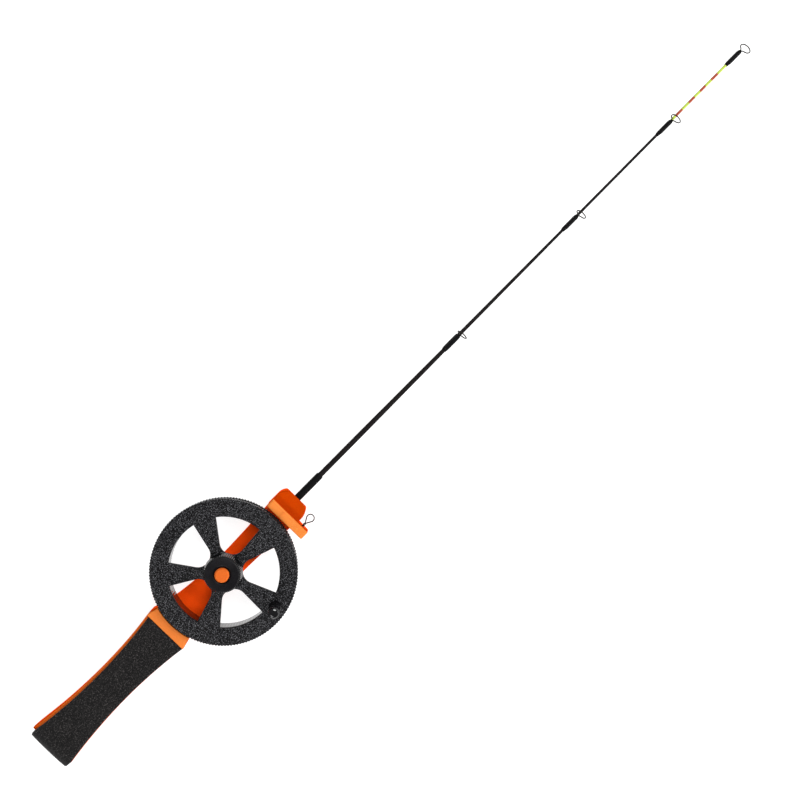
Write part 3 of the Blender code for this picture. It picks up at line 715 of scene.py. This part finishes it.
def foam_section(half, pinch):
    """Points across the strip, as (distance from the centre line, depth below the outer face)."""
    top = []
    flat = half - FOAM_EDGE
    for y in stations(-flat, flat, 12):
        top.append((y, FOAM_CROWN * abs(y / half) ** 3 + pinch))
    edge = top[-1][1]
    corner = [(flat + FOAM_EDGE * math.sin(a), edge + FOAM_EDGE * (1 - math.cos(a)))
              for a in (math.radians(22.5 * i) for i in range(1, 5))]
    side = [(half - 0.05, FOAM_THICK * 0.7), (half - 0.12, FOAM_THICK)]
    under = [(y, FOAM_THICK) for y in stations(half * 0.7, -half * 0.7, 4)]
    right = corner + side
    return top + right + under + [(-y, d) for y, d in reversed(right)]


def make_foam(finish):
    """One strip of foam folded round the butt, crowned, with soft edges and shallow dents."""
    line = foam_line()
    rings = []
    for i, (x, z, nx, nz) in enumerate(line):
        from_end = min(i, len(line) - 1 - i)
        pinch = (0.5, 0.14, 0.0)[min(from_end, 2)]
        ring = []
        for y, depth in foam_section(foam_half(x), pinch):
            outer = 1.0 - depth / FOAM_THICK
            dent = 0.5 + 0.5 * noise.noise(Vector((x, y, z)) / 7.0)
            fine = 0.5 + 0.5 * noise.noise(Vector((x, y, z)) / 1.6)
            depth += outer * FOAM_DENTS * (0.75 * dent + 0.25 * fine)
            side = math.copysign(0.12 * dent, y) if abs(y) > foam_half(x) - FOAM_EDGE else 0.0
            ring.append(Vector((x - nx * depth, FOAM_Y + y - side, z - nz * depth)) * MM)
        rings.append(ring)
    mesh = grid(rings, False)
    strip = add_piece("foam_strip", mesh, "frame", "grip_foam", finish, "grip_foam", sharp=60.0)


# Reel

def toothed(radius, rim, angle):
    """Fine teeth round the rim: only points near the full radius move."""
    share = min(max((radius - (rim - 1.0)) / 0.6, 0.0), 1.0)
    wave = 0.5 - 0.5 * math.cos(RIM_TEETH * angle)
    return radius - share * TOOTH_DEPTH * wave


def rim_loop():
    count = RIM_TEETH * TOOTH_STEPS
    points = []
    for i in range(count):
        angle = 2 * math.pi * i / count
        r = toothed(REEL_RADIUS, REEL_RADIUS, angle)
        points.append((r * math.cos(angle), r * math.sin(angle)))
    return points


def window(middle_angle):
    half = 180.0 / SPOKES - SPOKE_HALF_ANGLE
    outer = arc(0, 0, WINDOW_OUTER, middle_angle - half, middle_angle + half, 32)
    corners = [around(WINDOW_INNER, middle_angle + half), around(WINDOW_INNER, middle_angle - half)]
    inner = rounded([outer[-1], corners[0], corners[1], outer[0]], [0, WINDOW_CORNER, WINDOW_CORNER, 0], 9)
    return outer + inner[1:-1]


def spoke_angles():
    return [FIRST_SPOKE + 360.0 / SPOKES * i for i in range(SPOKES)]


def paint_faces(piece, finish, chosen):
    """Give the faces whose centre and normal pass a test a second finish."""
    piece.data.materials.append(finish)
    index = len(piece.data.materials) - 1
    for face in piece.data.polygons:
        if chosen(face.center / MM, face.normal):
            face.material_index = index


def make_wheel(finish, rim_finish):
    windows = [window(angle + 180.0 / SPOKES) for angle in spoke_angles()]
    face = plate([rim_loop()] + windows, FRONT_FLANGE_BACK, REEL_FACE, FACE_EDGE)
    hub_top = WINDOW_INNER - 1.0
    hub = revolve([(0, REEL_FACE - 0.05), (hub_top, REEL_FACE - 0.05), (hub_top, HUB_FLARE_HIGH),
                   (HUB_OUTER + 0.4, HUB_FLARE_LOW + 0.4), (HUB_OUTER, HUB_FLARE_LOW - 0.8),
                   (HUB_OUTER, REEL_BACK + 0.3), (HUB_OUTER - 0.3, REEL_BACK), (0, REEL_BACK)], 72)
    bore = cylinder(BUSH_OUTER + FINE_GAP, REEL_BACK - 2.0, REEL_FACE + 2.0, steps=64)
    pin_place = (*around(KNOB_CIRCLE, KNOB_ANGLE), 0.0)
    pin_hole = cylinder(PIN_RADIUS + FINE_GAP, FRONT_FLANGE_BACK - 2.0, REEL_FACE + 2.0, pin_place)
    tools = [(hub, "UNION"), (bore, "DIFFERENCE"), (pin_hole, "DIFFERENCE")]
    for angle in spoke_angles():
        place = (*around(SCREW_CIRCLE, angle), 0.0)
        hole = cylinder(SCREW_HOLE, FRONT_FLANGE_BACK - 2.0, REEL_FACE - 0.8, place, 20)
        tools.append((hole, "DIFFERENCE"))
    wheel = add_piece("wheel_face", carve(face, tools), "spool", "black_plastic", finish, "spool_front",
                      sharp=38.0)
    paint_faces(wheel, rim_finish, lambda c, n: c.xy.length > REEL_RADIUS - 1.0 and n.z < 0.9)


def drum_shape(radius, height, angle):
    """Ribs on the inner wall and teeth on the rim."""
    if radius < DRUM_INNER + 0.2 and REEL_BACK + 1.0 < height < FRONT_FLANGE_BACK - 0.5:
        phase = (WALL_RIBS * angle / (2 * math.pi)) % 1.0
        return radius + (RIB_DEPTH if phase < 0.5 else 0.0)
    return toothed(radius, BACK_RADIUS, angle)


def screw_boss(angle):
    """Outline of a boss that reaches the drum's wall, as a flat loop."""
    x, y = around(SCREW_CIRCLE, angle)
    reach = around(DRUM_INNER + 0.6, angle)
    side = around(SCREW_BOSS, angle + 90.0)
    loop = [(reach[0] - side[0], reach[1] - side[1]), (reach[0] + side[0], reach[1] + side[1])]
    return loop + arc(x, y, SCREW_BOSS, angle + 90.0, angle + 270.0, 14)


def make_drum(face_finish, wall_finish, rim_finish):
    wall_top = FRONT_FLANGE_BACK - 0.1
    rim = BACK_RADIUS
    profile = [(DRUM_INNER, REEL_BACK + 0.5), (DRUM_INNER, REEL_BACK + 1.2), (DRUM_INNER, REEL_BACK + 1.3),
               (DRUM_INNER, wall_top - 0.9), (DRUM_INNER, wall_top - 0.8), (DRUM_INNER, wall_top),
               (DRUM_OUTER, wall_top), (DRUM_OUTER, BACK_FLANGE_FRONT + 0.9),
               (DRUM_OUTER + 0.3, BACK_FLANGE_FRONT + 0.3), (DRUM_OUTER + 0.9, BACK_FLANGE_FRONT),
               (rim - 0.9, BACK_FLANGE_FRONT), (rim - 0.28, BACK_FLANGE_FRONT),
               (rim - 0.08, BACK_FLANGE_FRONT - 0.1), (rim, BACK_FLANGE_FRONT - 0.32),
               (rim, REEL_BACK + 0.32), (rim - 0.08, REEL_BACK + 0.1),
               (rim - 0.28, REEL_BACK), (rim - 0.9, REEL_BACK), (DRUM_INNER + 0.5, REEL_BACK),
               (DRUM_INNER + 0.15, REEL_BACK + 0.15)]
    drum = revolve(profile, RIM_TEETH * TOOTH_STEPS, shape=drum_shape)
    tools = []
    for angle in spoke_angles():
        boss = plate([screw_boss(angle)], REEL_BACK + 0.7, FRONT_FLANGE_BACK - 0.3, 0.15)
        place = (*around(SCREW_CIRCLE, angle), 0.0)
        wide = cylinder(SCREW_HEAD + 0.2, REEL_BACK - 1.0, SCREW_SEAT, place, 28)
        narrow = cylinder(SCREW_HOLE, SCREW_SEAT - 0.5, FRONT_FLANGE_BACK + 1.0, place, 20)
        tools += [(boss, "UNION"), (wide, "DIFFERENCE"), (narrow, "DIFFERENCE")]
    mesh = carve(drum, tools)
    piece = add_piece("reel_drum", mesh, "spool", "black_plastic", face_finish, "spool_drum", sharp=40.0)
    paint_faces(piece, wall_finish, lambda c, n: c.xy.length < DRUM_INNER + 0.6 and abs(n.z) < 0.7)
    paint_faces(piece, rim_finish, lambda c, n: c.xy.length > BACK_RADIUS - 1.5)


def make_screws(finish):
    """Pan-head screws with a cross recess, in their pockets behind the spokes."""
    top, seat = REEL_FACE - 1.2, SCREW_SEAT - 0.2
    profile = rounded([(0, top), (SCREW_RADIUS - 0.3, top), (SCREW_RADIUS, top - 0.6), (SCREW_RADIUS, seat),
                       (SCREW_HEAD, seat), (SCREW_HEAD, seat - 1.5), (0, seat - 1.5)],
                      [0, 0.1, 0.1, 0.1, 0.12, 0.7, 0], 4, False)
    for i, angle in enumerate(spoke_angles()):
        place = (*around(SCREW_CIRCLE, angle), 0.0)
        cross = []
        for turn in (0.0, 90.0):
            dx, dy = around(1.0, angle + turn)
            wx, wy = around(0.18, angle + turn + 90.0)
            loop = [(place[0] + a * dx + b * wx, place[1] + a * dy + b * wy)
                    for a, b in ((-1, -1), (1, -1), (1, 1), (-1, 1))]
            cross.append((plate([loop], seat - 2.5, seat - 0.8, 0.02), "DIFFERENCE"))
        mesh = carve(revolve(profile, 32, place), cross)
        add_piece(f"screw_{i + 1}", mesh, "spool", "steel", finish, f"spool_screw_{i + 1}")


def nut_shape(radius, height, angle):
    """Ribs round the nut's side, fading out at its top and bottom edges."""
    if radius < NUT_FACE_RADIUS - 0.6 or not NUT_BOTTOM + 0.2 < height < NUT_TOP - 0.05:
        return radius
    phase = (NUT_RIBS * angle / (2 * math.pi)) % 1.0
    return radius - NUT_RIB_DEPTH * (0.5 - 0.5 * math.cos(2 * math.pi * phase))


def make_nut(finish, edge_finish):
    thread = AXLE_RADIUS + RUNNING
    side = NUT_RADIUS - NUT_FACE_RADIUS
    profile = [(BUTTON_HOLE + 0.35, NUT_TOP - 0.22), (BUTTON_HOLE + 0.7, NUT_TOP - 0.2),
               (NUT_FACE_RADIUS - 1.7, NUT_TOP - 0.1), (NUT_FACE_RADIUS - 1.1, NUT_TOP - 0.01),
               (NUT_FACE_RADIUS - 0.8, NUT_TOP), (NUT_FACE_RADIUS - 0.55, NUT_TOP - 0.12),
               (NUT_FACE_RADIUS - 0.2, NUT_TOP - 0.5), (NUT_FACE_RADIUS + 0.02, NUT_TOP - 0.85)]
    profile += [(NUT_FACE_RADIUS + 0.1 + (side - 0.1) * t, NUT_TOP - 1.1 - (NUT_TOP - NUT_BOTTOM - 1.6) * t)
                for t in (0.0, 0.3, 0.6, 1.0)]
    profile += [(NUT_RADIUS - 0.1, NUT_BOTTOM + 0.1), (NUT_RADIUS - 0.4, NUT_BOTTOM),
                (NUT_CAVITY, NUT_BOTTOM), (NUT_CAVITY, NUT_CAVITY_TOP), (thread, NUT_CAVITY_TOP),
                (thread, AXLE_TOP + 0.1), (BUTTON_HOLE, AXLE_TOP + 0.1), (BUTTON_HOLE, NUT_TOP - 0.6),
                (BUTTON_HOLE + 0.1, NUT_TOP - 0.35)]
    mesh = revolve(profile, NUT_RIBS * NUT_STEPS, shape=nut_shape)
    disc = add_piece("hub_disc", mesh, "drag", "smooth_black_plastic", finish, "drag_nut", sharp=50.0)
    paint_faces(disc, edge_finish, lambda c, n: c.xy.length > NUT_FACE_RADIUS - 0.75)


def make_button(finish):
    under = AXLE_TOP + BUTTON_TRAVEL + 0.2
    stem = AXLE_BORE - RUNNING
    corners = [(0, BUTTON_TOP - 0.18), (BUTTON_RADIUS - 1.3, BUTTON_TOP - 0.1),
               (BUTTON_RADIUS - 0.75, BUTTON_TOP), (BUTTON_RADIUS, BUTTON_TOP - 0.7), (BUTTON_RADIUS, under),
               (stem, under), (stem, STEM_BOTTOM), (0, STEM_BOTTOM)]
    profile = rounded(corners, [0, 0.6, 0.2, 0.25, 0.1, 0.1, 0.3, 0], 4, False)
    mesh = revolve(profile, 72)
    add_piece("button_cap", mesh, "button", "orange_plastic", finish, "brake_button", sharp=50.0)


def make_spring(finish):
    """Coil spring under the button's stem, which the button presses shorter; here it is built at one length.
    """
    top = STEM_BOTTOM - 0.4
    coil = []
    for height in stations(SPRING_BOTTOM, top, SPRING_STEPS):
        turn = 360.0 * SPRING_TURNS * (height - SPRING_BOTTOM) / (top - SPRING_BOTTOM)
        coil.append(Vector((*around(SPRING_RADIUS, turn), height)))
    mesh = tube(coil, SPRING_WIRE)
    piece = add_piece("return_spring", mesh, "frame", "steel", finish, "button_spring", sharp=60.0)
    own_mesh(piece)


def make_knob(knob_finish, pin_finish):
    place = (*around(KNOB_CIRCLE, KNOB_ANGLE), 0.0)
    corners = [(0, KNOB_TOP - 0.25), (1.4, KNOB_TOP - 0.2), (2.3, KNOB_TOP), (2.9, KNOB_TOP - 1.1),
               (2.82, KNOB_TOP - 3.4), (2.4, KNOB_TOP - 7.5), (2.65, KNOB_BOTTOM + 2.2),
               (3.5, KNOB_BOTTOM + 0.7), (3.35, KNOB_BOTTOM), (KNOB_BORE, KNOB_BOTTOM),
               (KNOB_BORE, PIN_NECK), (PIN_HEAD + 0.15, PIN_NECK), (PIN_HEAD + 0.15, PIN_NECK + 1.5),
               (0, PIN_NECK + 2.0)]
    radii = [0, 0.8, 0.3, 0.8, 2.0, 3.0, 1.2, 0.3, 0.12, 0, 0, 0, 0, 0]
    mesh = revolve(rounded(corners, radii, 6, False), 56, place)
    add_piece("knob_grip", mesh, "knob", "gloss_black_plastic", knob_finish, "crank_knob", sharp=50.0)
    low = FRONT_FLANGE_BACK + 0.2
    corners = [(0, PIN_NECK + 1.4), (PIN_RADIUS - 0.2, PIN_NECK + 1.3), (PIN_HEAD, PIN_NECK + 0.3),
               (PIN_HEAD, PIN_NECK + 0.1), (PIN_RADIUS, PIN_NECK + 0.1), (PIN_RADIUS, low), (0, low)]
    mesh = revolve(rounded(corners, [0, 0.2, 0.06, 0.03, 0, 0.15, 0], 3, False), 32, place)
    add_piece("knob_axle", mesh, "spool", "steel", pin_finish, "knob_pin")


# Whip

def whip_radius(x):
    for (x0, r0), (x1, r1) in zip(WHIP_TAPER, WHIP_TAPER[1:]):
        if x <= x1:
            return r0 + (r1 - r0) * (x - x0) / (x1 - x0)
    return WHIP_TAPER[-1][1]


def whip_profile(start, end, count):
    stops = stations(start, end, count)
    side = [(whip_radius(x), x) for x in reversed(stops)]
    front = [(0, end), (side[0][0] * WHIP_CAP, end)]
    back = [(side[-1][0] * WHIP_CAP, start), (0, start)]
    return front + side + back


def make_whip(blank, paint, sleeve):
    place = (0.0, CENTRE_Y, WHIP_Z)
    mesh = revolve(whip_profile(WHIP_BUTT_X, TIP_START_X, 60), 28, place, "X")
    add_piece("whip_shaft", mesh, "whip", "black_blank", blank, "whip_blank")
    mesh = revolve(whip_profile(TIP_START_X + 0.1, WHIP_END_X, 16), 24, place, "X")
    add_piece("whip_end", mesh, "whip", "hi_vis_paint", paint, "whip_tip")
    inner = whip_radius(WHIP_BUTT_X) + FINE_GAP
    outer = [(inner, BASE_SLEEVE_END_X - 0.5), (inner + 0.1, BASE_SLEEVE_END_X),
             (SLEEVE_RADIUS - 0.2, BASE_SLEEVE_END_X - 0.15),
             (SLEEVE_RADIUS - 0.04, BASE_SLEEVE_END_X - 0.9)]
    for x in stations(BASE_SLEEVE_END_X - 2.0, HEAD_FRONT_X, 14):
        outer.append((SLEEVE_RADIUS - 0.05 * (0.5 + 0.5 * noise.noise(Vector((x * 0.6, 3.0, 0.0)))), x))
    outer += [(SLEEVE_RADIUS - 0.03, WHIP_BUTT_X + 0.3), (SLEEVE_RADIUS - 0.15, WHIP_BUTT_X),
              (inner, WHIP_BUTT_X)]
    mesh = revolve(outer, 36, place, "X")
    add_piece("whip_base_sleeve", mesh, "whip", "shrink_sleeve", sleeve, "base_sleeve")


def hull_loop(low, high, distance):
    """Outline round the blank and a guide's foot lying on it at a distance."""
    distance = max(distance, low - high + 0.001)
    lean = math.degrees(math.asin(min((low - high) / distance, 1.0)))
    return arc(0, 0, low, 180.0 - lean, 360.0 + lean, 22) + arc(0, distance, high, lean, 180.0 - lean, 12)


def guide_place():
    return Matrix.Translation((0.0, CENTRE_Y, WHIP_Z)) @ Matrix.Rotation(math.radians(RING_ROLL), 4, "X")


def make_guide(number, foot_x, sleeve_back, ring_outer, wire_finish, sleeve_finish):
    name = f"guide_{number}" if number else "tip_guide"
    sleeve_node = f"guide_sleeve_{number}" if number else "tip_guide_sleeve"
    blank = max(whip_radius(sleeve_back), whip_radius(foot_x))
    height = blank + FINE_GAP + WIRE_RADIUS
    ring = ring_outer / 2 - WIRE_RADIUS
    lean = math.radians(RING_LEAN)
    up = Vector((math.sin(lean), 0.0, math.cos(lean)))
    across = Vector((0.0, 1.0, 0.0))
    foot = Vector((foot_x + 0.5, 0.0, height))
    middle = foot + up * (ring + RING_RISE)
    route = [Vector((sleeve_back + 1.0, LEG_SPACING, height)), Vector((foot_x - 1.0, LEG_SPACING, height)),
             Vector((foot_x, LEG_SPACING, height)), foot + across * LEG_SPACING + up * 0.2]
    for degrees in stations(-90.0 + RING_OPEN, 270.0 - RING_OPEN, 30):
        angle = math.radians(degrees)
        route.append(middle + (across * math.cos(angle) + up * math.sin(angle)) * ring)
    route += [foot - across * LEG_SPACING + up * 0.2, Vector((foot_x + 0.05, -LEG_SPACING, height + 0.1))]
    place = guide_place()
    mesh = tube([place @ point for point in eased(route, 2)], WIRE_RADIUS)
    add_piece(f"{name}_wire", mesh, "whip", "guide_wire", wire_finish, name, sharp=60.0)
    make_sleeve(f"{name}_binding", sleeve_node, blank, height, sleeve_back, foot_x, sleeve_finish)


def make_sleeve(name, node, blank, height, start, end, finish):
    """Shrink tube over a guide's foot: thin at the back, full where the wires lie, rolled at both ends."""
    outside, inside = [], []
    place = guide_place()
    for i, share in enumerate(stations(0.0, 1.0, 18)):
        x = start + (end - start) * share
        swell = min(share / 0.22, 1.0)
        swell = swell * swell * (3 - 2 * swell)
        lip = min(1.0, 0.35 + 5.0 * share, 0.35 + 8.0 * (1.0 - share))
        wall = SLEEVE_WALL * lip + 0.03 * noise.noise(Vector((x * 0.9, 0.0, 7.0)))
        foot = LEG_SPACING + WIRE_RADIUS
        distance = height * (0.35 + 0.65 * swell)
        for loops, grow in ((outside, FINE_GAP + wall), (inside, FINE_GAP * 0.5)):
            loop = hull_loop(blank + grow, foot * (0.4 + 0.6 * swell) + grow, distance)
            loops.append([(place @ Vector((x, y, z))) * MM for y, z in loop])
    mesh = grid(outside + list(reversed(inside)), True)
    add_piece(name, mesh, "whip", "shrink_sleeve", finish, node, sharp=50.0)


def make_eye(finish):
    """Twisted wire shank that opens into a drop-shaped loop."""
    out = []
    for x in stations(PLATE_BACK_X + 1.8, EYE_SHANK_END, 60):
        y, z = around(EYE_TWIST, 360.0 * (x - EYE_SHANK_END) / EYE_PITCH)
        out.append(Vector((x, y, z)))
    back = [Vector((p.x, -p.y, -p.z)) for p in reversed(out)]
    centre = EYE_SHANK_END + 1.6 * EYE_LOOP
    loop = []
    for degrees in stations(125.0, -125.0, 20):
        angle = math.radians(degrees)
        loop.append(Vector((centre + EYE_LOOP * math.cos(angle), EYE_LOOP * math.sin(angle), 0.0)))
    middle = eased([out[-1]] + loop + [back[0]], 2)
    place = Vector((0.0, EYE_Y, EYE_Z))
    mesh = tube([p + place for p in out[:-1] + middle + back[1:]], EYE_WIRE)
    add_piece("eye_wire", mesh, "frame", "guide_wire", finish, "line_eye", sharp=60.0)


def dress(node, finish):
    """Give a carried-over part its finish and smooth shading."""
    thing = nodes[node]
    thing.data.materials.clear()
    thing.data.materials.append(finish)
    shade(thing.data, SHARP)


make_camera()
make_world()
make_lamp("key", (0.45, 0.05, 1.2), 8.3, 0.6)
make_lamp("side", (-0.65, -0.35, 0.95), 7.0, 0.3)
make_lamp("rim", (0.6, -0.6, 0.5), 7.0, 0.35)
make_floor()
scene.view_settings.view_transform = "Standard"

orange = orange_plastic()
steel = metal("steel", (0.42, 0.42, 0.43), (0.66, 0.66, 0.67), 0.22, 0.38)
brass = metal("brass", (0.5, 0.33, 0.12), (0.76, 0.56, 0.27), 0.24, 0.4)
wire_steel = metal("guide_wire", (0.01, 0.009, 0.008), (0.05, 0.044, 0.038), 0.25, 0.42, 0.15,
                   (0.2, 1.0, 1.0))
grain_and_glint_black = grained_black_with_glints()
tube_black = shrink_tube()

make_foam(foam())
satin_black = smooth_black()
make_wheel(grain_and_glint_black, satin_black)
make_drum(grain_and_glint_black, glossy_black_wall(), satin_black)
make_screws(steel)
shiny_black = gloss_black()
make_nut(satin_black, shiny_black)
make_button(orange)
make_spring(steel)
make_knob(shiny_black, steel)
make_whip(dark_blank(), banded_tip(), tube_black)
for values in GUIDES:
    make_guide(*values, wire_steel, tube_black)
make_eye(wire_steel)

dress("frame_body", orange)
dress("brake_pad", felt())
for node in ("axle_sleeve", "thrust_washer", "drag_spring"):
    dress(node, steel)
for node in ("spool_bush", "whip_socket"):
    dress(node, brass)
